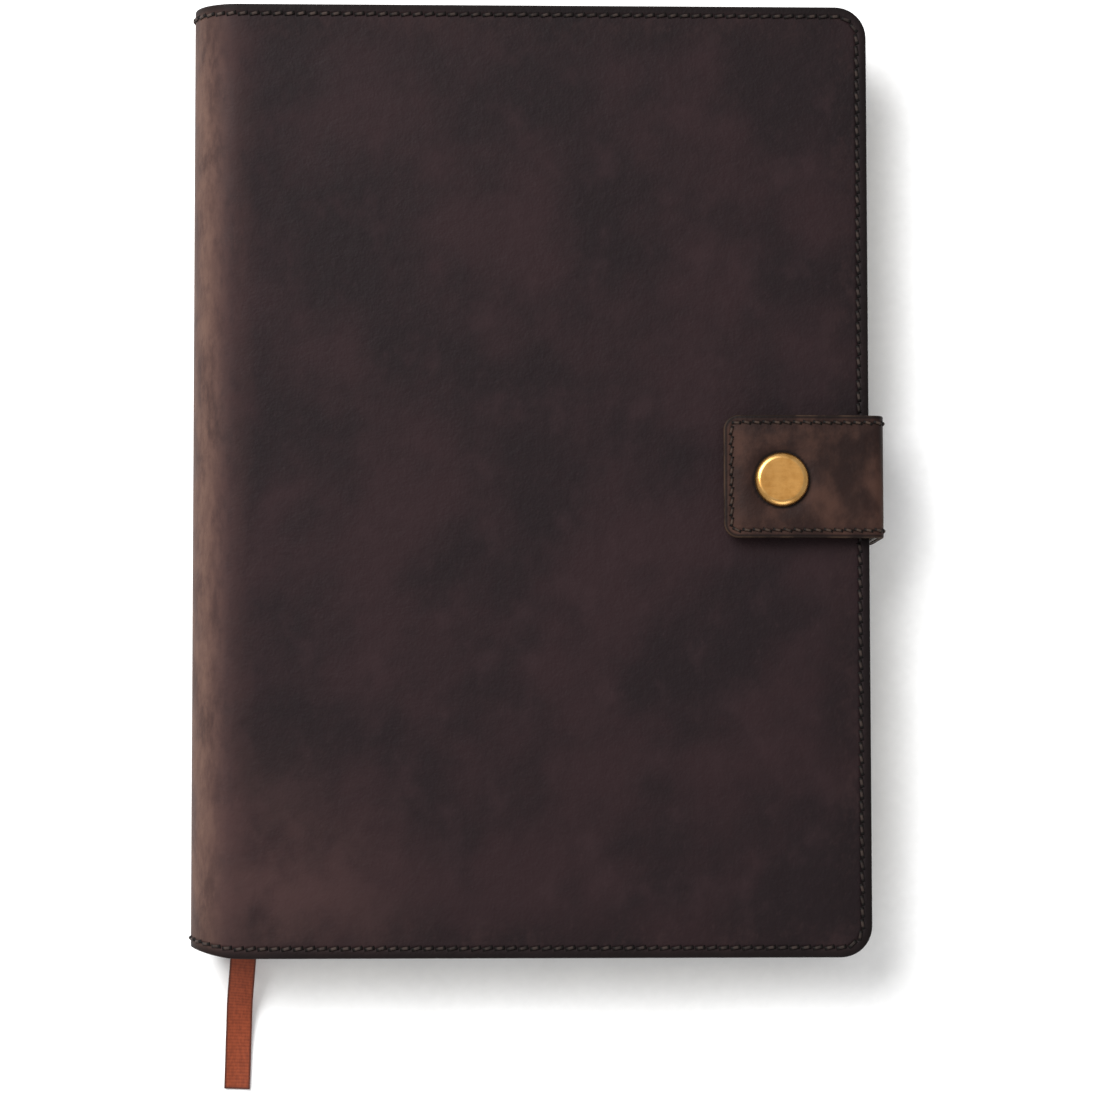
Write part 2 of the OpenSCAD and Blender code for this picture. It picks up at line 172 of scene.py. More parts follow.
# %% [markdown]
# ## From points to a piece
#
# A mesh could be edited by hand, but every piece here follows a rule, so it is written as two
# lists: points, and the faces between them. Numbers stored with the points, such as where each
# lay on the flat hide, travel with the mesh, so a pattern stays put when the piece bends.


# %% A mesh from plain lists
def make_piece(name, points, faces, sharp=40, attributes=None):
    """A smooth-shaded mesh object. attributes maps a name to one number or one vector a point."""
    mesh = bpy.data.meshes.new(name)
    mesh.from_pydata([tuple(p) for p in points], [], faces)
    mesh.validate()
    for key, values in (attributes or {}).items():
        values = np.asarray(values, np.float32)
        kind, field = ("FLOAT", "value") if values.ndim == 1 else ("FLOAT_VECTOR", "vector")
        mesh.attributes.new(key, kind, "POINT").data.foreach_set(field, values.ravel())
    tidy = bmesh.new()
    tidy.from_mesh(mesh)
    bmesh.ops.recalc_face_normals(tidy, faces=tidy.faces)
    tidy.to_mesh(mesh)
    tidy.free()
    mesh.shade_smooth()
    mesh.set_sharp_from_angle(angle=math.radians(sharp))
    piece = bpy.data.objects.new(name, mesh)
    bpy.context.scene.collection.objects.link(piece)
    return piece


# %% [markdown]
# ## Weaving the ribbon
#
# Grosgrain is a ribbon whose thick crosswise threads stand up as ribs. A flat strip with a
# bump in its finish would show them head-on only, so the section itself thickens and thins
# along the way, every 0.8 mm. Past the pages the strip curls a little across its width.


# %% Ribbon strip
rib_pitch = 0.8 * MM


def ribbon_section(along):
    """(across, up) points round the ribbon: raised ribs between firm woven edges."""
    rib = 0.5 + 0.5 * math.cos(2 * math.pi * along / rib_pitch)
    top = []
    for i in range(13):
        u = i / 6 - 1
        edge = max(0.0, (abs(u) - 0.84) / 0.16)
        half = ribbon_t / 2 * (0.8 + 0.2 * max(rib * (1 - edge), 0.8 * min(1, 2 * edge)))
        top.append((u * ribbon_w / 2, half * (1 if edge < 0.9 else 0.55)))
    return top + [(a, -u) for a, u in reversed(top)]


curl_up = 0.25 * MM
curl_from_y = -108 * MM
curl_over = 20 * MM
points, faces, woven, along = [], [], [], 0.0
for i, here in enumerate(ribbon_line):
    way = (ribbon_line[min(i + 1, len(ribbon_line) - 1)] - ribbon_line[max(i - 1, 0)]).normalized()
    side = way.cross(Vector((0, 0, 1))).normalized()
    up = side.cross(way)
    section = ribbon_section(along)
    curl = curl_up * min(1, max(0, (curl_from_y - here.y) / curl_over))
    for a, u in section:
        points.append(here + side * a + up * (u + curl * ((2 * a / ribbon_w) ** 2 - 0.33)))
        woven.append((a, along, u))
    if i:
        along += (here - ribbon_line[i - 1]).length
        n = len(section)
        for j in range(n):
            k = (j + 1) % n
            faces.append((n * (i - 1) + j, n * (i - 1) + k, n * i + k, n * i + j))
last = n * (len(ribbon_line) - 1)
faces += [tuple(range(n)), tuple(range(last, last + n))]
ribbon = make_piece("ribbon", points, faces, attributes={"hide": woven})
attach(ribbon, "back_cover")
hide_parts("ribbon_bookmark")
tuple(ribbon_line[0])
[tuple(p) for p in ribbon_line]
print("ribbon points", len(points))

# %% [markdown]
# ## Colours and nodes
#
# Colours are written as a maker's swatches, in sRGB hex, and one function turns them to the
# linear values that the renderer adds up. Another small function adds a shader node.


# %% Swatches and shader nodes
def swatch(code):
    """A linear colour from an sRGB hex code."""
    parts = [int(code[i : i + 2], 16) / 255 for i in (1, 3, 5)]
    return tuple(c / 12.92 if c <= 0.04045 else ((c + 0.055) / 1.055) ** 2.4 for c in parts) + (1,)


def add(tree, kind, inputs=None, **settings):
    """Adds a node. inputs maps an input's name or number to a value or another node's output."""
    node = tree.nodes.new(kind)
    for key, value in settings.items():
        setattr(node, key, value)
    for key, value in (inputs or {}).items():
        if isinstance(value, bpy.types.NodeSocket):
            tree.links.new(value, node.inputs[key])
        else:
            node.inputs[key].default_value = value
    return node


def new_material(name):
    """A material with its tree and its Principled shader."""
    material = bpy.data.materials.new(name)
    material.use_nodes = True
    shader = material.node_tree.nodes["Principled BSDF"]
    return material, material.node_tree, shader


# %% [markdown]
# ## Recipes
#
# Dye, wax and dirt never lie evenly, so nearly every finish here starts from soft noise, turns
# it into a share with a smooth fade, and mixes two swatches by that share. Sizes are given in
# metres, as on the real hide, and stretch draws the blotches out in one direction.


# %% Small recipes that materials share
def noise(tree, place, size, detail=4.0, stretch=(1, 1, 1), rough=0.55):
    """Soft noise whose blotches are about size metres wide, drawn out by stretch."""
    scaled = add(tree, "ShaderNodeVectorMath", {0: place, 1: tuple(1 / s for s in stretch)},
                 operation="MULTIPLY").outputs[0]
    return add(tree, "ShaderNodeTexNoise", {"Vector": scaled, "Scale": 1 / size, "Detail": detail,
                                            "Roughness": rough}).outputs["Fac"]


def fade(tree, value, low, high, start=0.0, end=1.0):
    """value run from low to high, turned smoothly to a number from start to end."""
    return add(tree, "ShaderNodeMapRange", {"Value": value, "From Min": low, "From Max": high,
                                            "To Min": start, "To Max": end},
               interpolation_type="SMOOTHSTEP").outputs[0]


def mix(tree, share, first, second):
    """Two colours mixed by share."""
    return add(tree, "ShaderNodeMix", {0: share, 6: first, 7: second},
               data_type="RGBA").outputs[2]


def calc(tree, operation, first, second=0.0, third=0.0):
    """One sum on numbers."""
    return add(tree, "ShaderNodeMath", {0: first, 1: second, 2: third},
               operation=operation).outputs[0]


def spot(tree, name, field="Vector"):
    """What a mesh stores under name at each point."""
    return add(tree, "ShaderNodeAttribute", attribute_name=name).outputs[field]


# %% [markdown]
# ## Pull-up leather
#
# Full-grain cowhide, drum-dyed dark and filled with oil and wax, then hand-burnished at its
# cut edges. The wax moves where the leather is bent or rubbed, so the spine goes paler and
# streaky, and the edge is nearly black. The grain is about 0.6 mm across. Its pattern is read
# from where each point lay on the flat hide, so it runs unbroken round every bend.


# %% Pull-up leather
def pull_up_leather(name, dark, mid, light, worn, bare, spine_wear, edge_end, edge_rub_and_sheen,
                    edge_darkening=0.0):
    """Dyed and waxed cowhide: dark and mid are the cloudy ground, light is the moved wax, and
    worn and bare are where handling has taken it off. spine_wear puts the wear on the rounded
    back and its tail corner. edge_end is how far in the burnished edge reaches, edge_rub_and_sheen
    how much lighter its rounded rim is, partly rubbed off and partly a painted highlight, and
    edge_darkening how much darker the border beside it is."""
    material, tree, shader = new_material(name)
    burnish_and_shadow_black = swatch("#0d0808")
    place = spot(tree, "hide")
    edge = spot(tree, "edge", "Fac")
    clouds = noise(tree, place, 38 * MM, 6)
    patches = noise(tree, place, 9 * MM, 5, (1, 1.3, 1))
    specks = noise(tree, place, 1.6 * MM, 5, (1, 1.5, 1), 0.7)
    ground = mix(tree, fade(tree, clouds, 0.38, 0.64), swatch(dark), swatch(mid))
    ground = mix(tree, fade(tree, patches, 0.5, 0.76, 0, 0.4), ground, swatch(light))
    ground = mix(tree, fade(tree, specks, 0.52, 0.8, 0, 0.3), ground, swatch(light))
    if spine_wear:
        run = add(tree, "ShaderNodeSeparateXYZ", {0: place}).outputs[0]
        run = calc(tree, "ABSOLUTE", run)
        streaks = noise(tree, place, 2.6 * MM, 6, (1, 3, 1), 0.7)
        smudge = noise(tree, place, 8 * MM, 5, (0.9, 2, 1), 0.6)
        reach = calc(tree, "MULTIPLY_ADD", streaks, 7 * MM, run)
        reach = calc(tree, "MULTIPLY_ADD", smudge, 14 * MM, reach)
        band = fade(tree, reach, 21 * MM, 34 * MM, 1, 0)
        scuff = calc(tree, "ADD", fade(tree, streaks, 0.38, 0.66, 0.15, 0.5),
                     fade(tree, smudge, 0.38, 0.62, 0.15, 0.5))
        wear = calc(tree, "MULTIPLY", band, scuff)
        corner = add(tree, "ShaderNodeVectorMath", {0: place, 1: (14 * MM, -112 * MM, 0)},
                     operation="DISTANCE").outputs["Value"]
        held = calc(tree, "MULTIPLY", fade(tree, corner, 8 * MM, 62 * MM, 0.55, 0),
                    fade(tree, patches, 0.3, 0.6, 0.4, 1))
        ground = mix(tree, held, ground, swatch(worn))
        ground = mix(tree, wear, ground, swatch(worn))
        crown = calc(tree, "MULTIPLY", fade(tree, run, 7 * MM, 16 * MM, 1, 0), scuff)
        ground = mix(tree, crown, ground, swatch(bare))
    else:
        wear = fade(tree, patches, 0.42, 0.7, 0, 0.6)
        ground = mix(tree, wear, ground, swatch(worn))
    near = calc(tree, "MULTIPLY", fade(tree, edge, 3 * MM, 12 * MM, 0.14, 0),
                fade(tree, calc(tree, "ADD", specks, patches), 0.9, 1.25))
    ground = mix(tree, near, ground, swatch(worn))
    # Darker towards the edge, from 16 mm in to 4 mm in.
    darker_near_edge = fade(tree, edge, 4 * MM, 16 * MM, edge_darkening, 0)
    ground = mix(tree, darker_near_edge, ground, burnish_and_shadow_black)
    burnish = fade(tree, edge, 0.5 * MM, edge_end, 0.85, 0)
    ground = mix(tree, burnish, ground, burnish_and_shadow_black)
    # Wear and painted highlight: the rounded rim of the edge goes lighter, towards the bare
    # colour.
    rubbed = calc(tree, "MULTIPLY", fade(tree, edge, 0.05 * MM, 0.5 * MM, edge_rub_and_sheen, 0),
                  fade(tree, patches, 0.45, 0.6, 0.2, 1))
    ground = mix(tree, rubbed, ground, swatch(bare))
    # Painted shadow: a nearly black ring on the face round the snap's cap.
    cap_shadow = fade(tree, spot(tree, "cap_shadow", "Fac"), 0.1, 0.9, 0, 0.85)
    ground = mix(tree, cap_shadow, ground, burnish_and_shadow_black)
    cells = add(tree, "ShaderNodeTexVoronoi", {"Vector": place, "Scale": 1 / (0.6 * MM)},
                feature="SMOOTH_F1").outputs["Distance"]
    folds = noise(tree, place, 3.5 * MM, 6, (1, 1, 1), 0.6)
    grain = add(tree, "ShaderNodeBump", {"Height": cells, "Strength": 0.5, "Distance": 0.07 * MM})
    creases = add(tree, "ShaderNodeBump", {"Height": folds, "Strength": 0.6,
                                           "Distance": 0.3 * MM, "Normal": grain.outputs[0]})
    gloss = calc(tree, "MULTIPLY_ADD", wear, 0.12, fade(tree, patches, 0.3, 0.8, 0.5, 0.64))
    tree.links.new(ground, shader.inputs["Base Color"])
    tree.links.new(gloss, shader.inputs["Roughness"])
    tree.links.new(creases.outputs[0], shader.inputs["Normal"])
    shader.inputs["IOR"].default_value = 1.45
    shader.inputs["Specular IOR Level"].default_value = 0.11
    return material


# The cover: cool near-black clouds, paler and streaky on the spine, and darker towards its edges.
cover_hide = pull_up_leather("pull_up_cowhide", "#191113", "#241719", "#2e2022", "#432f2d",
                             "#5e483f", True, 3.3 * MM, 0.0, 0.22)
# The strap: the same hide from a warmer part, with a thin burnished edge whose rounded rim is
# lighter, partly from wear and partly as a painted highlight.
strap_hide = pull_up_leather("pull_up_cowhide_strap", "#1f1412", "#2b1c18", "#372620", "#452f27",
                             "#66503f", False, 1.1 * MM, 0.3)
# The pockets: skived thin and hardly handled, so paler and evener, with a hair of burnish only,
# and a rounded rim lighter partly from wear and partly as a painted highlight.
pocket_hide = pull_up_leather("pull_up_cowhide_thin", "#2c201b", "#34261f", "#3c2c24", "#413027",
                              "#4c3a2d", False, 0.5 * MM, 0.3)
print("leathers", [m.name for m in (cover_hide, strap_hide, pocket_hide)])

# %% [markdown]
# ## A hide laid out flat
#
# Every leather piece is a rounded rectangle in hide coordinates: s runs from the fold, y along
# the fold, and n down into the thickness. Rings of points step in from the cut edge, so the
# edge can be rounded and the seam can sink, and a grid fills the middle. A section is a list
# of (inset, depth) pairs from the face, round the edge, to the underside.


# %% Outline of a hide
def spread(low, high, pitch):
    """Even steps from low to high, about pitch apart."""
    n = max(2, round(abs(high - low) / pitch))
    return [low + (high - low) * i / n for i in range(n + 1)]


def rim(length, height, r, inset, pitch, shut, arc_steps=5, fine=None):
    """The four sides of a rounded rectangle, drawn in by inset: head, fore, tail and fold side.
    Each is a list of (s, y). Unless shut, the fold side is cut square at s = 0."""
    left = inset if shut else 0.0
    low_r = r if shut else 0.0

    def arc(cs, cy, radius, start, stop):
        steps = arc_steps if radius > 0 else 0
        angles = [math.radians(start + (stop - start) * i / max(1, steps))
                  for i in range(steps + 1)]
        radius = max(radius - inset, 0)
        return [(cs + radius * math.cos(a), cy + radius * math.sin(a)) for a in angles]

    top = height / 2 - r
    ends = length - r
    begin = low_r
    head_y0 = height / 2 - inset
    n_along = max(2, round((ends - begin) / pitch))
    shares = fine or [i / n_along for i in range(n_along + 1)]
    straight = [begin + (ends - begin) * t for t in shares]
    down = spread(top, -top, pitch)
    head = [(s, head_y0) for s in straight]
    fore = [(length - inset, y) for y in down]
    fold = [(left, y) for y in down]
    if shut:
        head = arc(begin, top, low_r, 135, 90)[:-1] + head
        fold = arc(begin, top, low_r, 135, 180)[:-1] + fold + arc(begin, -top, low_r, 180, 225)[1:]
    else:
        n_down = len(down) + 2 * arc_steps
        fold = [(0.0, head_y0 - 2 * head_y0 * i / (n_down - 1)) for i in range(n_down)]
    head = head + arc(ends, top, r, 90, 45)[1:]
    fore = arc(ends, top, r, 45, 0)[:-1] + fore + arc(ends, -top, r, 0, -45)[1:]
    tail = [(s, -y) for s, y in head]
    return head, fore, tail, fold


sample_rim = rim(fore_x - spine_x, 2 * head_y, corner_r, 0, 3 * MM, False)
print("points along the four sides of a cover's rim", [len(side) for side in sample_rim])

# %% [markdown]
# ## Giving the hide its thickness
#
# Extruding an outline would leave sharp corners all round, and leather has none: its edges are
# slicked round with wax. So the outline is repeated as rings that step from the face round the
# edge to the underside, and the two faces are filled with a grid that follows their rims. The
# last step bends every point, so one function serves every leather piece.


# %% A hide of some thickness
def lay_hide(name, length, height, r, section, bend, pitch=3 * MM, shut=False, fine=None,
             painted_shadow=None):
    """A closed leather piece. bend(s, y, n, inset) gives the place of a point of the flat hide,
    and pressed(s, y) how dark a painted shadow makes it."""
    flat, faces = [], []

    def node(s, y, n, inset):
        flat.append((s, y, n, inset))
        return len(flat) - 1

    def filled(head, fore, tail, fold, n, known):
        """A grid between four sides (a Coons patch). known holds the boundary's nodes."""
        columns, rows = len(head), len(fore)
        grid = {}
        for i in range(columns):
            u = (head[i][0] - head[0][0]) / (head[-1][0] - head[0][0])
            for j in range(rows):
                v = (fore[0][1] - fore[j][1]) / (fore[0][1] - fore[-1][1])
                if (i, j) in known:
                    grid[i, j] = known[i, j]
                    continue
                s, y = (
                    (1 - v) * head[i][k] + v * tail[i][k] + (1 - u) * fold[j][k] + u * fore[j][k]
                    - (1 - u) * (1 - v) * head[0][k] - u * (1 - v) * head[-1][k]
                    - (1 - u) * v * tail[0][k] - u * v * tail[-1][k]
                    for k in (0, 1)
                )
                inset = min(length - s, height / 2 - abs(y), s if shut else 1)
                grid[i, j] = node(s, y, n, inset)
        for i in range(columns - 1):
            for j in range(rows - 1):
                faces.append((grid[i, j], grid[i + 1, j], grid[i + 1, j + 1], grid[i, j + 1]))
        return grid

    loops = []
    for inset, depth in section:
        head, fore, tail, fold = rim(length, height, r, inset, pitch, shut, fine=fine)
        keys = [(i, 0) for i in range(len(head))]
        keys += [(len(head) - 1, j) for j in range(1, len(fore))]
        keys += [(i, len(fore) - 1) for i in range(len(head) - 2, -1, -1)]
        spots = list(head) + fore[1:] + tail[::-1][1:]
        if shut:
            keys += [(0, j) for j in range(len(fore) - 2, 0, -1)]
            spots += fold[::-1][1:-1]
        ring = [node(s, y, depth, inset) for s, y in spots]
        loops.append((ring, dict(zip(keys, ring)), (head, fore, tail, fold)))
    for (a, _, _), (b, _, _) in zip(loops, loops[1:]):
        count = len(a) if shut else len(a) - 1
        for i in range(count):
            j = (i + 1) % len(a)
            faces.append((a[i], a[j], b[j], b[i]))
    face_grid = filled(*loops[0][2], section[0][1], loops[0][1])
    under_grid = filled(*loops[-1][2], section[-1][1], loops[-1][1])
    if not shut:
        rows = len(loops[0][2][1])
        for j in range(rows - 1):
            faces.append((face_grid[0, j], face_grid[0, j + 1],
                          under_grid[0, j + 1], under_grid[0, j]))
        faces.append(tuple(ring[0] for ring, _, _ in loops))
        faces.append(tuple(ring[-1] for ring, _, _ in loops))
    points = [bend(*f) for f in flat]
    # Painted shadow, on the face only: how dark each point is painted.
    shadow_marks = [painted_shadow(f[0], f[1]) if f[2] < 0.5 * MM else 0.0 for f in flat] if painted_shadow else None
    stored = {"hide": [f[:3] for f in flat], "edge": [f[3] for f in flat]}
    if shadow_marks:
        stored["cap_shadow"] = shadow_marks
    return make_piece(name, points, faces, attributes=stored)


def edge_section(face_n, under_n, soft, deep, groove=None):
    """(inset, depth) pairs from face to underside, with edges rounded by soft. deep is the last
    inset, and groove = (inset, depth, width) sinks the seam into the face."""
    out = []
    if groove:
        at, sink, width = groove
        out = [(at + width * t, face_n + sink * math.exp(-((1.9 * t) ** 2)))
               for t in (1.6, 1.2, 0.85, 0.55, 0.28, 0, -0.28, -0.55, -0.85, -1.2, -1.6)]
        out = [(deep, face_n)] + [p for p in out if soft < p[0] < deep]
    else:
        out = [(deep, face_n), (min(deep * 0.6, 3 * soft), face_n)]
    turn = [(1 - math.sin(a), 1 - math.cos(a)) for a in (0, 0.4, 0.8, 1.2, math.pi / 2)]
    out += [(soft * u, face_n + soft * v) for u, v in turn]
    out += [(soft * u, under_n - soft * v) for u, v in reversed(turn)]
    return out + [(deep, under_n)]


print("edge section", [tuple(round(v / MM, 2) for v in p)
                       for p in edge_section(0, leather_t, 0.4 * MM, 6 * MM)])

# %% [markdown]
# ## Outer leather
#
# One hide wraps the back, the spine and the front. It crosses two folds, and a piece can bend
# across only one, so it is cut along the middle of the spine, where both halves meet flush and
# share one pattern. The face is not dead flat: it swells a little between seam and middle, and
# the tail end of the spine is drawn in where the hide turns round the back of the book.


# %% Bending a hide round the spine
spine_arc = spine_r * math.pi / 2
half_length = spine_arc + fore_x - spine_x


def smooth(t):
    """0 to 1 with level ends."""
    t = min(1, max(0, t))
    return t * t * (3 - 2 * t)


def swell(s, y):
    """The slow unevenness of a hand-cut hide, in metres: under a fifth of a millimetre."""
    a = math.sin(s / (31 * MM) + 1.3) * math.cos(y / (44 * MM) + 0.4)
    b = math.sin(s / (13 * MM) + y / (19 * MM))
    return (0.12 * a + 0.05 * b) * MM


drawn_in = 2.6 * MM
drawn_round = 19 * MM
drawn_along = 18 * MM


def draw_in(s, y):
    """How far the spine's tail end pulls in, most at mid-spine and nothing at the head."""
    if y > 0:
        return 0
    along = smooth((-y - head_y + drawn_along) / drawn_along)
    return drawn_in * ((1 - smooth(s / drawn_round)) * along)


def round_spine(side):
    """bend() for the half of the cover on that side: 1 is the front, -1 the back."""

    def bend(s, y, n, inset):
        y += draw_in(s, y)
        reach = min(1, max(0, inset - 3 * MM) / (12 * MM))
        reach *= min(1, max(0, s - spine_arc) / (20 * MM))
        rise = swell(s, y) * reach if side > 0 and n < 0.5 * leather_t else 0
        if s < spine_arc:
            a = s / spine_r
            x, z = -math.cos(a), side * math.sin(a)
            return Vector((spine_x + (spine_r - n) * x, y, spine_z + (spine_r - n) * z))
        return Vector((spine_x + s - spine_arc, y, spine_z + side * (spine_r - n + rise)))

    return bend


spine_steps = [spine_arc * i / 26 / (half_length - corner_r) for i in range(26)]
flat_steps = spread(spine_arc / (half_length - corner_r), 1, 3 * MM / (half_length - corner_r))
fine = spine_steps + flat_steps
groove = (seam_inset, 0.2 * MM, 0.75 * MM)
leather_section = edge_section(0, leather_t, 0.45 * MM, 6.2 * MM, groove)
cover_pieces = {}
for side, word in ((1, "front"), (-1, "back")):
    piece = lay_hide(word + "_cover_leather", half_length, 2 * head_y, corner_r, leather_section,
                     round_spine(side), fine=fine)
    cover_pieces[word] = piece
    piece.data.materials.append(cover_hide)
print({k: len(p.data.vertices) for k, p in cover_pieces.items()}, "points")

# %% [markdown]
# ## Baking the halves in place
#
# A hinged lid would open with a gap at its hinge, but this hide is one skin. Here each half only
# has its placement baked into its points: it is not joined to the motion of a cover or of the
# spine.


# %% Baking the halves in place
def cross_spine(piece, word):
    """Bakes the piece's placement into its points."""
    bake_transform(piece)


for word, piece in cover_pieces.items():
    cross_spine(piece, word)
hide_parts("front_leather", "spine_leather")
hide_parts("back_leather")

# %% [markdown]
# ## Lining
#
# A thin split leather is glued inside and sewn in with the same seam. It is matt, and paler
# than the face, with a short nap.


# %% Split leather
def split_leather(name, dark, light):
    """Unfinished split: matt, with a short uneven nap that scatters light."""
    material, tree, shader = new_material(name)
    place = spot(tree, "hide")
    nap = noise(tree, place, 0.5 * MM, 5, (1, 1, 1), 0.7)
    clouds = noise(tree, place, 14 * MM, 4)
    both = calc(tree, "MULTIPLY_ADD", nap, 0.4, calc(tree, "MULTIPLY", clouds, 0.6))
    ground = mix(tree, fade(tree, both, 0.35, 0.65), swatch(dark), swatch(light))
    burnish = fade(tree, spot(tree, "edge", "Fac"), 0.05 * MM, 0.5 * MM, 0.75, 0)
    ground = mix(tree, burnish, ground, swatch("#1a1210"))
    bump = add(tree, "ShaderNodeBump", {"Height": nap, "Strength": 0.7, "Distance": 0.12 * MM})
    tree.links.new(ground, shader.inputs["Base Color"])
    tree.links.new(bump.outputs[0], shader.inputs["Normal"])
    shader.inputs["Roughness"].default_value = 0.85
    shader.inputs["Sheen Weight"].default_value = 0.25
    shader.inputs["Sheen Roughness"].default_value = 0.6
    return material


# The lining: pale tan and matt, so the inside reads as the flesh side of the hide.
lining_hide = split_leather("split_leather_lining", "#4d3a2c", "#66503d")
lining_section = edge_section(leather_t, skin_t, 0.15 * MM, 6.2 * MM)
for side, word in ((1, "front"), (-1, "back")):
    piece = lay_hide(word + "_cover_lining", half_length - 0.1 * MM, 2 * head_y - 0.2 * MM,
                     corner_r, lining_section, round_spine(side), fine=fine)
    piece.data.materials.append(lining_hide)
    cross_spine(piece, word)
    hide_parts(word + "_lining", *(["spine_lining"] if side > 0 else []))
print("lining laid")

# %% [markdown]
# ## Stitching
#
# A saddle stitch in waxed polyester thread, 2.8 mm apart. The thread is dyed to match, so it
# shows mostly as a row of small dull humps between the awl holes, whose dark mouths are painted
# shade on the thread's ends. Those of the back lie deeper, pushed in by the table.


# %% Waxed thread
def waxed_thread(name, colour, shade, rubbed):
    """Twisted polyester with wax. Its light and dark bands come about 4 mm apart, coarser than
    the real twist, so that whole stitches differ a little in tone. The dye of the leather has
    darkened it, except where handling near the fold has rubbed it clean."""
    material, tree, shader = new_material(name)
    place = spot(tree, "hide")
    twist = add(tree, "ShaderNodeTexWave", {"Vector": place, "Scale": 1 / (1.1 * MM) / 6.3,
                                            "Distortion": 1.5}, wave_type="BANDS",
                bands_direction="DIAGONAL").outputs["Fac"]
    ground = mix(tree, twist, swatch(shade), swatch(colour))
    run = add(tree, "ShaderNodeSeparateXYZ", {0: place}).outputs[0]
    clean = calc(tree, "MULTIPLY", fade(tree, run, 12 * MM, 75 * MM, 1, 0.15),
                 fade(tree, noise(tree, place, 17 * MM, 4), 0.35, 0.65, 0.3, 1))
    ground = mix(tree, clean, ground, swatch(rubbed))
    # Painted shade: the thread's ends go nearly black where they sink into the awl holes.
    hole_shade = fade(tree, spot(tree, "dive", "Fac"), 0.3, 0.66)
    ground = mix(tree, hole_shade, ground, swatch("#0b0706"))
    bump = add(tree, "ShaderNodeBump", {"Height": twist, "Strength": 0.6, "Distance": 0.08 * MM})
    tree.links.new(ground, shader.inputs["Base Color"])
    tree.links.new(bump.outputs[0], shader.inputs["Normal"])
    shader.inputs["Roughness"].default_value = 0.65
    shader.inputs["Specular IOR Level"].default_value = 0.15
    return material


# The cover's thread: close to the leather's own brown, and greyer where it is rubbed clean.
thread = waxed_thread("waxed_polyester_thread", "#302723", "#1c1614", "#453934")
# The strap's thread: a shade warmer, to go with the warmer part of the hide.
strap_thread = waxed_thread("waxed_polyester_thread_strap", "#392c25", "#241b17", "#3e3129")
print("threads", [m.name for m in (thread, strap_thread)])

# %% [markdown]
# ## One seam
#
# A dashed line in the finish would lie flat. A real stitch leans a little, stands up in its
# middle and dives into the leather at both ends, so each is a short swept tube laid in hide
# coordinates and bent with the leather. No two lean alike in hand sewing.


# %% One seam
def resample(line, pitch):
    """(place, direction) every pitch along a line of (s, y) points, in even steps."""
    steps = np.diff(np.array(line), axis=0)
    lengths = np.r_[0, np.cumsum(np.hypot(steps[:, 0], steps[:, 1]))]
    n = round(lengths[-1] / pitch)
    out = []
    for i in range(n):
        at = (i + 0.5) * lengths[-1] / n
        k = min(np.searchsorted(lengths, at) - 1, len(steps) - 1)
        way = steps[k] / np.hypot(*steps[k])
        out.append((np.array(line[k]) + way * (at - lengths[k]), way))
    return out


stitch_pitch = 2.8 * MM
tab_pitch = 2.45 * MM
stitch_rings = (-1, -0.86, -0.6, 0, 0.6, 0.86, 1)
stitch_sides = 6


def sew(name, line, pitch, bend, base, size=2.5 * MM, lean=12, thick=0.4 * MM, seed=5,
        yarn=thread):
    """Stitches along a line of (s, y). base is the depth of the seam's floor in the hide, and the
    wide ends stand for the mouths of the awl holes; the thread's finish paints them dark as
    shade."""
    draw = random.Random(seed)
    points, faces, woven, dive = [], [], [], []
    for at, way in resample(line, pitch):
        tilt = math.radians(lean + draw.uniform(-4, 4))
        way = np.array((way[0] * math.cos(tilt) - way[1] * math.sin(tilt),
                        way[0] * math.sin(tilt) + way[1] * math.cos(tilt)))
        cross = np.array((-way[1], way[0]))
        first = len(points)
        for t in stitch_rings:
            lift = 0.03 * MM + thick * 0.8 * (1 - t**4)
            wide, high = thick * (0.85 + 0.6 * t**6), 0.75 * thick * (1 - 0.85 * t**6)
            for j in range(stitch_sides):
                a = 2 * math.pi * j / stitch_sides
                s, y = at + way * t * size / 2 + cross * wide * math.cos(a)
                n = base - lift - high * math.sin(a)
                points.append(bend(s, y, n, seam_inset))
                woven.append((s, y, n))
                dive.append(abs(t))
        for i in range(len(stitch_rings) - 1):
            ring = first + i * stitch_sides
            for j in range(stitch_sides):
                a, b = ring + j, ring + (j + 1) % stitch_sides
                faces.append((a, b, b + stitch_sides, a + stitch_sides))
        faces += [tuple(range(first, first + stitch_sides)),
                  tuple(range(len(points) - stitch_sides, len(points)))]
    piece = make_piece(name, points, faces, 60, {"hide": woven, "dive": dive})
    piece.data.materials.append(yarn)
    return piece


def seam_line(length, height, r, inset):
    """The seam's line along head, fore-edge and tail."""
    head, fore, tail, _ = rim(length, height, r, inset, 1 * MM, False, arc_steps=8)
    return list(head) + fore[1:] + tail[::-1][1:]


cover_seam = seam_line(half_length, 2 * head_y, corner_r, seam_inset)
seam_floor = {"front": 0.07 * MM, "back": 0.4 * MM}
for side, word in ((1, "front"), (-1, "back")):
    piece = sew(word + "_cover_stitches", cover_seam, stitch_pitch, round_spine(side),
                seam_floor[word], seed=5 + side)
    cross_spine(piece, word)
    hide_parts(word + "_stitching", *(["spine_stitching"] if side > 0 else []))
seam_length = sum(math.dist(a, b) for a, b in zip(cover_seam, cover_seam[1:]))
print("seam", round(seam_length, 3), "m long")

# %% [markdown]
# ## Strap
#
# Two plies sewn together. The strap comes out of the back cover's edge, turns up the fore-edge
# and turns again over the front, where the snap holds it a little above the cover. It is cut
# along the middle of its upright, because each half crosses one fold.


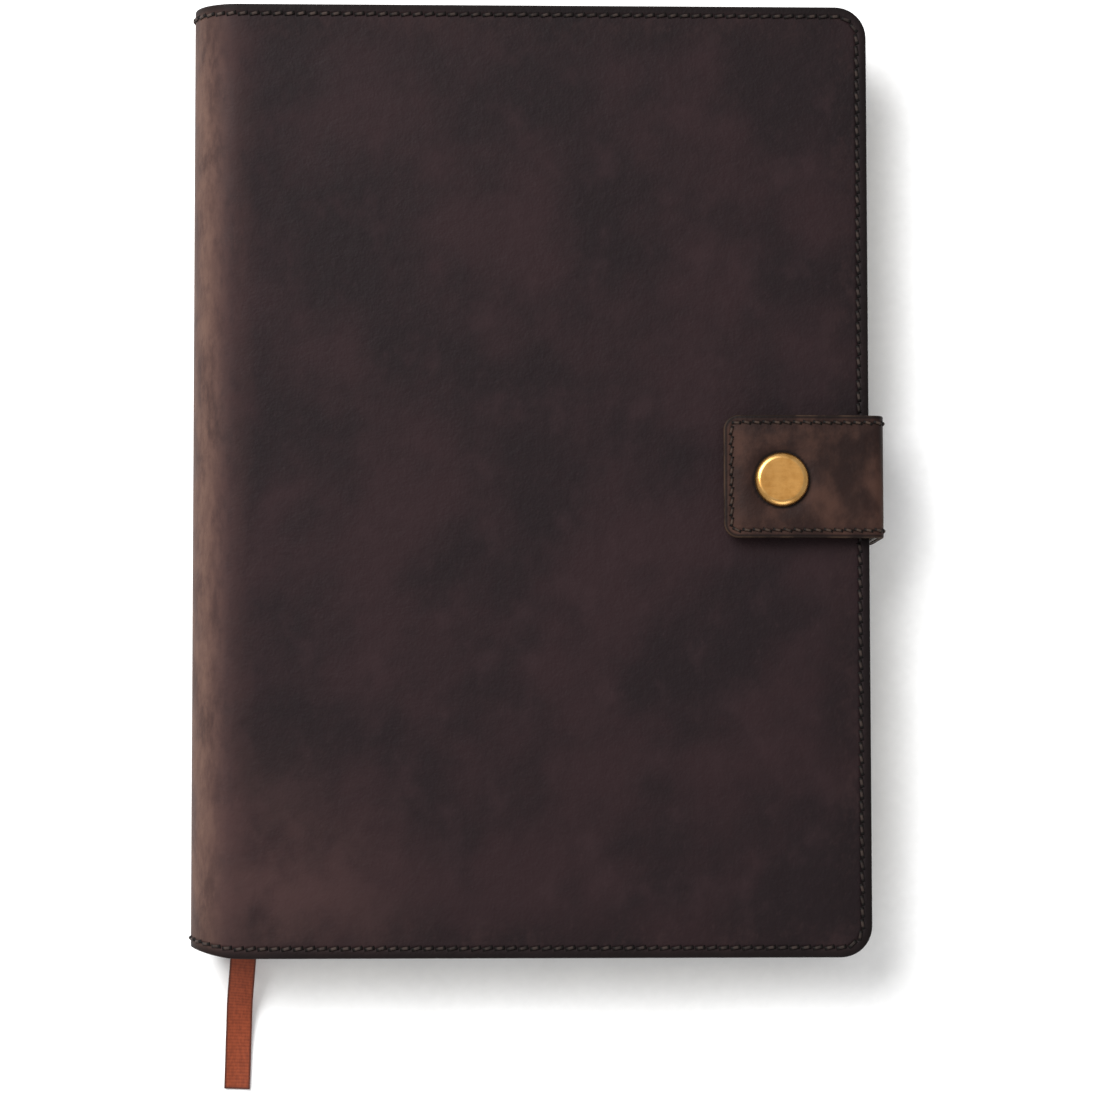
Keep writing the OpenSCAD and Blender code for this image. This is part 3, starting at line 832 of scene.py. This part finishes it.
# %% Bending a hide up the strap
low_bend_z = 0.8 * MM + bend_r
high_bend_z = tab_top_z - bend_r
side_mid_z = (low_bend_z + high_bend_z) / 2
rise = high_bend_z - side_mid_z
bend_arc = bend_r * math.pi / 2
tab_length = rise + bend_arc + bend_x - tab_low.x
tongue_length = rise + bend_arc + bend_x - fore_x + 3 * MM
snap_s = rise + bend_arc + bend_x - cap_x
slack = 0.9 * MM
droop = 0.5 * MM
tucked_in = 0.35 * MM
padded_out = 0.18 * MM


def up_strap(side):
    """bend() for the strap: side 1 is the tab's half, -1 the tongue's half. The tab sags before
    the snap and droops past it, dips round the cap and is padded out between cap and seam."""

    def bend(s, y, n, inset):
        sag, out = 0.0, n
        if side > 0:
            sag = slack * smooth((s - 2 * MM) / rise)
            sag *= smooth((snap_s - s) / (snap_s - rise))
            sag += droop * smooth((s - snap_s - 6 * MM) / (9 * MM))
            rho = math.hypot(s - snap_s, y + strap_y - cap_y)
            dimple = tucked_in * math.exp(-(((rho - 6.4 * MM) / (1.3 * MM)) ** 2))
            puff = padded_out * smooth((inset - 2.2 * MM) / (3 * MM))
            puff *= smooth((rho - 7 * MM) / (4 * MM))
            if n < strap_leather_t / 2:
                out = n + (dimple - puff) * smooth((s - rise - bend_arc) / (3 * MM))
        else:
            skive = smooth((s - rise - bend_arc - 0.1 * MM) / (0.5 * MM))
            out = strap_t / 2 + (n - strap_t / 2) * (1 - 0.73 * skive)
        if s < rise:
            x, z = bend_x + bend_r - out, s
        elif s < rise + bend_arc:
            a = (s - rise) / bend_r
            x, z = bend_x + (bend_r - out) * math.cos(a), rise + (bend_r - out) * math.sin(a)
        else:
            x, z = bend_x - (s - rise - bend_arc), rise + bend_r - out
        return Vector((x, y + strap_y, side_mid_z + side * (z - sag)))

    return bend


def cap_shadow_ring(s, y):
    """A painted shadow: a dark ring on the leather round the cap, where the cap's shadow falls."""
    rho = math.hypot(s - snap_s, y + strap_y - cap_y)
    return 1 - smooth((rho - cap_r - 0.1 * MM) / (0.9 * MM))


# %% [markdown]
# ## Cutting and folding the strap
#
# Each half is laid like the other hides, a face ply and a lining ply. The tongue is skived,
# which means pared thin, where it runs into the back cover's edge, so it makes no lump there.


# %% Strap halves
tab_groove = (1.8 * MM, 0.16 * MM, 0.6 * MM)
strap_plies = (
    ("leather", 0, strap_leather_t, 0.4 * MM, tab_groove, strap_hide, "strap_leather"),
    ("lining", strap_leather_t, strap_t, 0.25 * MM, None, lining_hide, "lining_leather"),
)


def cross_strap(piece, side):
    """Bakes the piece's placement into its points, the tab's half and the tongue's half alike."""
    if side > 0:
        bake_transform(piece)
    else:
        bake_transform(piece)


for side, word, length in ((1, "tab", tab_length), (-1, "tongue", tongue_length)):
    for ply, face_n, under_n, soft, sunk, hide, slot in strap_plies:
        r = 3.5 * MM if side > 0 else 0.6 * MM
        deep = 3.2 * MM if side > 0 else 0.5 * MM
        section = edge_section(face_n, under_n, soft, deep, sunk if side > 0 else None)
        trim = 0.1 * MM if ply == "lining" else 0
        piece = lay_hide("strap_" + word + "_" + ply, length - trim, strap_w - 2 * trim, r,
                         section, up_strap(side), pitch=0.7 * MM,
                         painted_shadow=cap_shadow_ring if side > 0 else None)
        piece.data.materials.append(hide)
        cross_strap(piece, side)
        if side > 0:
            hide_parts("tab_" + ply)
        elif ply == "leather":
            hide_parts("strap_side_leather", "strap_tongue")
        else:
            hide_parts("strap_side_lining")
print("tab is", round(tab_length, 4), "m from the middle of the upright to its end")

# %% [markdown]
# ## Sewing the strap
#
# The strap's seam is finer than the cover's, 2.45 mm apart. It runs round the tab and down
# both sides, and stops short of the cover's edge, where the tongue goes in.

# %% Strap stitching
tab_seam = seam_line(tab_length, strap_w, 3.5 * MM, tab_groove[0])
upper = sew("strap_tab_stitches", tab_seam, tab_pitch, up_strap(1), 0.05 * MM, 2.25 * MM, 14,
            0.33 * MM, 9, strap_thread)
cross_strap(upper, 1)
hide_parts("tab_stitching")
for line_side in (1, -1):
    y = line_side * (strap_w / 2 - tab_groove[0])
    line = [(s, y) for s in spread(0, tongue_length - 4.5 * MM, 1 * MM)]
    lower = sew("strap_tongue_stitches_" + ("head" if line_side > 0 else "tail"), line, tab_pitch,
                up_strap(-1), 0.05 * MM, 2.25 * MM, 14, 0.3 * MM, 11, strap_thread)
    cross_strap(lower, -1)
    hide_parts("strap_side_stitching")
print("strap sewn")

# %% [markdown]
# ## Snap cap
#
# Stamped from sheet brass: a nearly flat brushed face inside a rolled, polished shoulder. The
# thin brown tarnish keeps the face soft, and the shoulder gives the one sharp highlight.


# %% Brass
def brushed_metal(name, colour, deep, rough):
    """Bare metal with a thin uneven tarnish and fine brushing."""
    material, tree, shader = new_material(name)
    place = add(tree, "ShaderNodeTexCoord").outputs["Object"]
    tarnish = noise(tree, place, 4 * MM, 6, (1, 1, 1), 0.6)
    brushing = noise(tree, place, 0.35 * MM, 3, (7, 1, 1), 0.6)
    ground = mix(tree, fade(tree, tarnish, 0.35, 0.7), swatch(colour), swatch(deep))
    gloss = calc(tree, "MULTIPLY_ADD", brushing, 0.14, rough)
    bump = add(tree, "ShaderNodeBump", {"Height": brushing, "Strength": 0.25,
                                        "Distance": 0.02 * MM})
    tree.links.new(ground, shader.inputs["Base Color"])
    tree.links.new(gloss, shader.inputs["Roughness"])
    tree.links.new(bump.outputs[0], shader.inputs["Normal"])
    shader.inputs["Metallic"].default_value = 1.0
    return material


# The cap's face, the stud, the socket and the rivet: dull and warm.
cap_brass = brushed_metal("stamped_brass_brushed", "#bf8e50", "#ab793d", 0.34)
# The cap's shoulder: the same brass, polished by handling, so smoother, and brighter partly from
# the polish and partly as a painted highlight.
polished_lit_brass = brushed_metal("stamped_brass_polished_lit", "#d3a465", "#bd8b4b", 0.24)
# The snap's spring: hard drawn wire, grey and smooth.
spring_steel = brushed_metal("drawn_spring_steel", "#c9c8c5", "#a9a8a5", 0.25)
print("metals", [m.name for m in (cap_brass, polished_lit_brass, spring_steel)])

# %% [markdown]
# ## Turning the cap
#
# A round part is fully given by half its section, so it is turned like work on a lathe. A
# cylinder with a bevel would have the same radius all the way along its edge, and the real
# shoulder starts flat and then falls away.


# %% Turning on a lathe
def turn(name, section, x, y, z):
    """A closed piece turned from (radius, height) points, which start and end on the axis."""
    steps = 96
    points, faces, rings = [], [], []
    for radius, height in section:
        count = 1 if radius == 0 else steps
        rings.append(range(len(points), len(points) + count))
        for k in range(count):
            a = 2 * math.pi * k / steps
            points.append((x + radius * math.cos(a), y + radius * math.sin(a), z + height))
    for a, b in zip(rings, rings[1:]):
        for k in range(steps):
            j = (k + 1) % steps
            quad = [a[k % len(a)], a[j % len(a)], b[j % len(b)], b[k % len(b)]]
            faces.append(tuple(dict.fromkeys(quad)))
    return make_piece(name, points, faces, 50)


# %% [markdown]
# ## The cap's two finishes
#
# Face and shoulder are one stamping, so they are one piece with two materials. The faces
# outside the flat part take the polished one, brighter partly as a painted highlight.

# %% Cap
cap_base_z = tab_top_z
cap_t = cap_high.z - cap_base_z
shoulder = 1.5 * MM
face_r = cap_r - shoulder
section = [(face_r * t, cap_t - 0.06 * MM * (1 - t**2)) for t in (0, 0.3, 0.6, 0.85, 1)]
section += [(cap_r - shoulder * (1 - math.sin(a)), cap_t - shoulder * (1 - math.cos(a)))
            for a in np.linspace(0.08, math.pi / 2, 15)]
section += [(cap_r - 0.12 * MM, -0.25 * MM), (0, -0.25 * MM)]
cap = turn("brass_cap", section, cap_x, cap_y, cap_base_z)
cap.data.materials.append(cap_brass)
cap.data.materials.append(polished_lit_brass)
for polygon in cap.data.polygons:
    centre = polygon.center
    if math.hypot(centre.x - cap_x, centre.y - cap_y) > face_r:
        polygon.material_index = 1
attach(cap, "strap_tab")
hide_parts("snap_cap")
print("cap", len(cap.data.vertices), "points")

# %% [markdown]
# ## Ribbon finish
#
# Woven polyester with a low sheen. The ribs catch the light in turn, the woven edges are
# denser and darker, and the cut end is seared so that it doesn't fray.


# %% Ribbon finish
def woven_ribbon(name, colour, shade, selvage):
    """Grosgrain: ribs across with painted light and shade on them, dense dark edges and a
    seared end.
    """
    material, tree, shader = new_material(name)
    place = spot(tree, "hide")
    parts = add(tree, "ShaderNodeSeparateXYZ", {0: place})
    ribs = calc(tree, "COSINE", calc(tree, "MULTIPLY", parts.outputs[1], 2 * math.pi / rib_pitch))
    fibres = noise(tree, place, 0.5 * MM, 4, (1, 3, 1), 0.6)
    # Painted light and shade: a little lighter on each rib's crest and darker between the ribs.
    tone = calc(tree, "MULTIPLY_ADD", ribs, 0.09, fibres)
    ground = mix(tree, fade(tree, tone, 0.25, 0.75), swatch(shade), swatch(colour))
    out = calc(tree, "ABSOLUTE", parts.outputs[0])
    ground = mix(tree, fade(tree, out, 2.4 * MM, 2.9 * MM, 0, 0.75), ground, swatch(selvage))
    seared = fade(tree, parts.outputs[1], ribbon_length - 0.9 * MM, ribbon_length - 0.4 * MM,
                  0, 0.8)
    ground = mix(tree, seared, ground, swatch(selvage))
    bump = add(tree, "ShaderNodeBump", {"Height": fibres, "Strength": 0.4, "Distance": 0.05 * MM})
    tree.links.new(ground, shader.inputs["Base Color"])
    tree.links.new(bump.outputs[0], shader.inputs["Normal"])
    shader.inputs["Roughness"].default_value = 0.6
    shader.inputs["Specular IOR Level"].default_value = 0.2
    shader.inputs["Sheen Weight"].default_value = 0.1
    shader.inputs["Sheen Roughness"].default_value = 0.4
    return material


# Red-brown, a little brighter than the leather, so the bookmark is easy to find.
ribbon.data.materials.append(woven_ribbon("grosgrain_ribbon", "#7f391f", "#662b16", "#33140b"))

# %% [markdown]
# ## Paper and card
#
# The notebook's sheets are all uncoated and matt. One recipe covers them, with a tooth of the
# right size for each: fine for pages, coarser for the woven cloths.


# %% Paper and card
def matt_sheet(name, colour, shade, grain, rough):
    """Uncoated paper, card or cloth: a soft mottle and a fine tooth."""
    material, tree, shader = new_material(name)
    place = add(tree, "ShaderNodeTexCoord").outputs["Object"]
    tooth = noise(tree, place, grain, 4, (1, 1, 1), 0.65)
    clouds = noise(tree, place, 20 * MM, 3)
    both = calc(tree, "MULTIPLY_ADD", tooth, 0.5, calc(tree, "MULTIPLY", clouds, 0.5))
    ground = mix(tree, fade(tree, both, 0.35, 0.65), swatch(shade), swatch(colour))
    bump = add(tree, "ShaderNodeBump", {"Height": tooth, "Strength": 0.4, "Distance": 0.04 * MM})
    tree.links.new(ground, shader.inputs["Base Color"])
    tree.links.new(bump.outputs[0], shader.inputs["Normal"])
    shader.inputs["Roughness"].default_value = rough
    return material


# Pages: warm ivory, with hardly any texture to see.
page_paper = matt_sheet("uncoated_ivory_paper", "#efe7d4", "#ded3bb", 0.3 * MM, 0.9)
# Endpapers: heavier and a shade deeper.
end_paper = matt_sheet("uncoated_ivory_endpaper", "#e6dcc4", "#d6c9ab", 0.4 * MM, 0.9)
# The notebook's own cover: black card faced with book cloth, which takes no shine.
card_stock = matt_sheet("black_bookcloth_card", "#232120", "#1a1918", 0.5 * MM, 0.75)
card_shader = card_stock.node_tree.nodes["Principled BSDF"]
card_shader.inputs["Specular IOR Level"].default_value = 0.25
# The cloth glued over the folded backs: open, starched and off-white.
mull_cloth = matt_sheet("starched_cotton_mull", "#e4e0d6", "#b9b3a4", 0.6 * MM, 0.95)
print("sheets", [m.name for m in (page_paper, end_paper, card_stock, mull_cloth)])

# %% [markdown]
# ## Page stacks
#
# Six folded sections above the ribbon and six below. Their leaves are cut together, but they
# never line up quite exactly, which draws the fine lines along the edges. A real leaf is
# 0.1 mm thick. These are drawn as 0.24 mm, so that the lines can be seen.


# %% Page stacks
drawn_leaf_t = 0.24 * MM
page_corner_r = 5 * MM
leaf_edge = ((0.04, 0.04), (0.3, 0), (0.7, 0), (0.96, 0.04))


def page_stack(name, node, sections, seed):
    """A stack of thin leaves with rounded fore-edge corners and round folded backs. leaf_edge
    is a leaf's outline in rings: how far up the leaf, and how many millimetres in."""
    draw = random.Random(seed)
    low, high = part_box(node)
    pitch = (high.z - low.z) / sections
    leaves = max(2, round(pitch / drawn_leaf_t))
    leaf_t = pitch / leaves
    points, faces = [], []
    for k in range(sections * leaves):
        z0 = low.z + k * leaf_t
        across = (2 * ((k % leaves) + 0.5) / leaves - 1) * 0.97
        back = pitch / 2 * (1 - math.sqrt(1 - across**2))
        slip = draw.uniform(0, 0.14) * MM
        r = page_corner_r
        x0, x1, y1 = low.x + back, high.x - slip, high.y - draw.uniform(0, 0.12) * MM
        ring = [(x0, y1), (x0, -y1)]
        for centre_y, start in ((-y1 + r, -90), (y1 - r, 0)):
            for i in range(9):
                a = math.radians(start + 90 * i / 8)
                ring.append((x1 - r + r * math.cos(a), centre_y + r * math.sin(a)))
        first, count = len(points), len(ring)
        for share, inset in leaf_edge:
            for x, y in ring:
                points.append((x - math.copysign(inset * MM, x - low.x - 1 * MM),
                               y - math.copysign(inset * MM, y), z0 + share * leaf_t))
        for level in range(len(leaf_edge) - 1):
            for i in range(count):
                j = (i + 1) % count
                a = first + level * count
                faces.append((a + i, a + j, a + count + j, a + count + i))
        faces += [tuple(range(first, first + count)),
                  tuple(range(len(points) - count, len(points)))]
    piece = make_piece(name, points, faces, 30)
    piece.data.materials.append(page_paper)
    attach(piece, "back_cover")
    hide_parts(node)
    return piece


upper_pages = page_stack("pages_above_ribbon", "front_signatures", 6, 21)
lower_pages = page_stack("pages_below_ribbon", "back_signatures", 6, 22)
print("pages", len(upper_pages.data.vertices) + len(lower_pages.data.vertices), "points")

# %% [markdown]
# ## Pockets
#
# The sleeve on the back cover and the slip pocket with its card slots on the front cover are
# thin leather, seen only when the cover is open. They are laid like the other hides, on flat
# ground, with their mouths towards the spine or the head.


# %% Sleeve and slip pocket
def lay_flat(low, high, face, drop=0.0):
    """bend() for a flat panel in a CAD box. face 1 looks up and -1 down, and the sewn edge
    drops by drop to meet the lining."""

    def bend(s, y, n, inset):
        sink = drop * (1 - smooth((inset - 2.5 * MM) / (4 * MM)))
        top = high.z if face > 0 else low.z
        return Vector((low.x + s, (low.y + high.y) / 2 + y, top - face * (n + sink)))

    return bend


sleeve_low, sleeve_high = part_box("notebook_sleeve")
pocket_low, pocket_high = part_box("slip_pocket")
sleeve = lay_hide("back_sleeve", sleeve_high.x - sleeve_low.x, sleeve_high.y - sleeve_low.y,
                  corner_r - 0.4 * MM, edge_section(0, 0.75 * MM, 0.3 * MM, 6.2 * MM),
                  lay_flat(sleeve_low, sleeve_high, 1, 0.8 * MM))
pocket = lay_hide("front_slip_pocket", pocket_high.x - pocket_low.x, pocket_high.y - pocket_low.y,
                  corner_r - 0.4 * MM, edge_section(0, 0.6 * MM, 0.25 * MM, 6.2 * MM),
                  lay_flat(pocket_low, pocket_high, -1))
for piece, body, node in ((sleeve, "back_cover", "notebook_sleeve"),
                          (pocket, "front_cover", "slip_pocket")):
    piece.data.materials.append(pocket_hide)
    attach(piece, body)
    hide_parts(node)
print("sleeve and slip pocket laid")

# %% [markdown]
# ## Card slots
#
# Three strips overlap like steps, each with its mouth towards the head. They are rounded at all
# four corners, unlike the covers' halves, which are cut square at mid-spine.

# %% Card slots
slot_boxes = {}
for word in ("lower", "middle", "upper"):
    low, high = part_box("card_slot_" + word)
    slot_boxes[word] = (low, high)
    strip = lay_hide("card_slot_" + word + "_leather", high.x - low.x, high.y - low.y, 1.5 * MM,
                     edge_section(0, high.z - low.z, 0.2 * MM, 1.3 * MM),
                     lay_flat(low, high, -1), shut=True, pitch=4 * MM)
    strip.data.materials.append(pocket_hide)
    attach(strip, "front_cover")
    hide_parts("card_slot_" + word)
print("card slots", list(slot_boxes))

# %% [markdown]
# ## Sewing the slots
#
# Each strip is sewn down its two sides only, from where the strip below it ends, in a thinner
# thread than the cover's.

# %% Pocket stitching
for index, word in enumerate(("lower", "middle", "upper")):
    low, high = slot_boxes[word]
    floor_y = low.y if word == "lower" else slot_boxes[("lower", "middle")[index - 1]][1].y
    width, height = high.x - low.x, high.y - low.y
    for edge_x, letter in ((2 * MM, "spine"), (width - 2 * MM, "fore")):
        foot = floor_y - (low.y + high.y) / 2 + 1 * MM
        line = [(edge_x, y) for y in spread(foot, height / 2 - 1.5 * MM, 1 * MM)]
        piece = sew("slot_stitches_" + word + "_" + letter, line, stitch_pitch,
                    lay_flat(low, high, -1), 0.05 * MM, 2.45 * MM, 12, 0.24 * MM, 31 + index)
        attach(piece, "front_cover")
        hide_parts("pocket_stitching")
print("pocket sewn")

# %% [markdown]
# ## CAD pieces that keep their shape
#
# The hard pieces of the snap and the notebook's card cover are already right, so they only
# take their finish.

# %% Finishes of the CAD pieces
finishes = {
    "snap_stud": cap_brass, "stud_rivet": cap_brass, "snap_socket": cap_brass,
    "socket_spring": spring_steel, "notebook_card_cover": card_stock,
    "front_endpaper": end_paper, "back_endpaper": end_paper, "spine_mull": mull_cloth,
}
for node, finish in finishes.items():
    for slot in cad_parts[node].material_slots:
        slot.material = finish
print("finished", len(finishes), "CAD pieces")

# %% [markdown]
# ## Floor and light
#
# A white table and one big soft box from the upper left, so the shadow falls short and soft to
# the right and towards the tail. A pale sky and a weak second box on the tail side lift the
# shadows. The table lies a hair below the cover, so that the two never share a plane.


# %% Floor and light
def soft_box(name, place, size, power):
    """A square area light that looks at the cover's middle."""
    lamp = bpy.data.lights.new(name, "AREA")
    lamp.shape = "SQUARE"
    lamp.size = size
    lamp.energy = power
    holder = bpy.data.objects.new(name, lamp)
    holder.location = place
    holder.rotation_euler = (Vector((0, 0, 0)) - Vector(place)).to_track_quat("-Z", "Y").to_euler()
    bpy.context.scene.collection.objects.link(holder)


table_half = 2
floor_below = 0.2 * MM
sky_strength = 0.56
floor_mesh = bpy.data.meshes.new("table")
corners = [(x * table_half, y * table_half, 0) for x, y in ((-1, -1), (1, -1), (1, 1), (-1, 1))]
floor_mesh.from_pydata(corners, [], [(0, 1, 2, 3)])
floor = bpy.data.objects.new("table", floor_mesh)
floor.location.z = -floor_below
bpy.context.scene.collection.objects.link(floor)
# Matt white paper, so the table keeps a soft shadow and no gleam.
floor_mesh.materials.append(matt_sheet("white_table_paper", "#fbfbfb", "#f6f6f6", 3 * MM, 0.9))
soft_box("soft_box_key", (-0.68, 0.62, 1.12), 0.95, 31)
soft_box("soft_box_fill", (0.15, -1.0, 0.75), 0.7, 3.5)
world = bpy.data.worlds.new("studio")
world.use_nodes = True
sky = world.node_tree.nodes["Background"]
sky.inputs["Color"].default_value = (1, 1, 1, 1)
sky.inputs["Strength"].default_value = sky_strength
bpy.context.scene.world = world
bpy.context.scene.view_settings.view_transform = "Standard"
